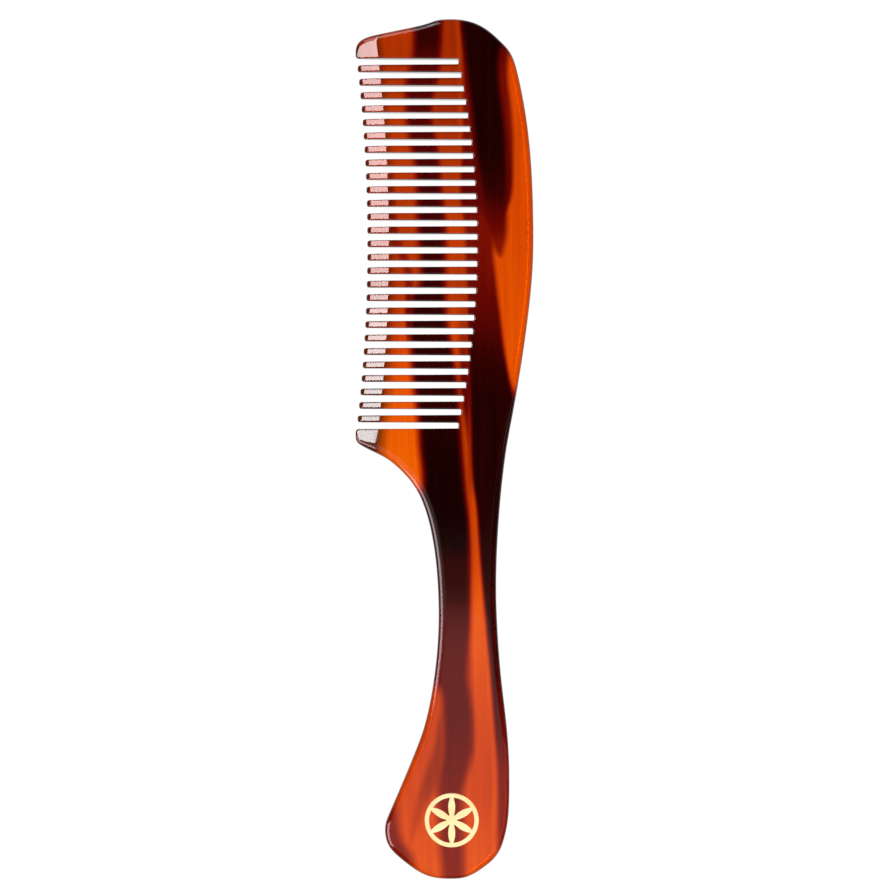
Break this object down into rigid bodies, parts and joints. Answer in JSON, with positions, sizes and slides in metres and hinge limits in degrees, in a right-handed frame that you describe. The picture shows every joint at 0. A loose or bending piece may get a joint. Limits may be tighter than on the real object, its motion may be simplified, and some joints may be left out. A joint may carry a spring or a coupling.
{
  "type": "hair comb",
  "caption": "Flat dressing comb with a row of straight teeth, wide end guards, a curved spine and a waisted handle that widens to a rounded paddle with a small open-work metal emblem.",
  "frame": {"origin": "middle of the comb's outline box, on its back face", "axes": "+Y along the comb from the handle to the head, -X where the tooth tips point, +Z out of the face that carries the emblem"},
  "size_m": [0.0396, 0.1914, 0.0044],
  "materials": {
    "acetate": "tumble-polished tortoiseshell cellulose acetate, translucent amber with near-black flame streaks",
    "emblem_metal": "thin gold-plated plate, satin",
    "adhesive": "clear transfer adhesive film"
  },
  "bodies": {
    "root": {"comb_body": "acetate", "tooth_01": "acetate", "tooth_02": "acetate", "tooth_03": "acetate", "tooth_04": "acetate", "tooth_05": "acetate", "tooth_06": "acetate", "tooth_07": "acetate", "tooth_08": "acetate", "tooth_09": "acetate", "tooth_10": "acetate", "tooth_11": "acetate", "tooth_12": "acetate", "tooth_13": "acetate", "tooth_14": "acetate", "tooth_15": "acetate", "tooth_16": "acetate", "tooth_17": "acetate", "tooth_18": "acetate", "tooth_19": "acetate", "tooth_20": "acetate", "tooth_21": "acetate", "tooth_22": "acetate", "tooth_23": "acetate", "tooth_24": "acetate", "tooth_25": "acetate", "tooth_26": "acetate", "tooth_27": "acetate", "emblem_adhesive": "adhesive", "emblem": "emblem_metal"}
  },
  "joints": []
}
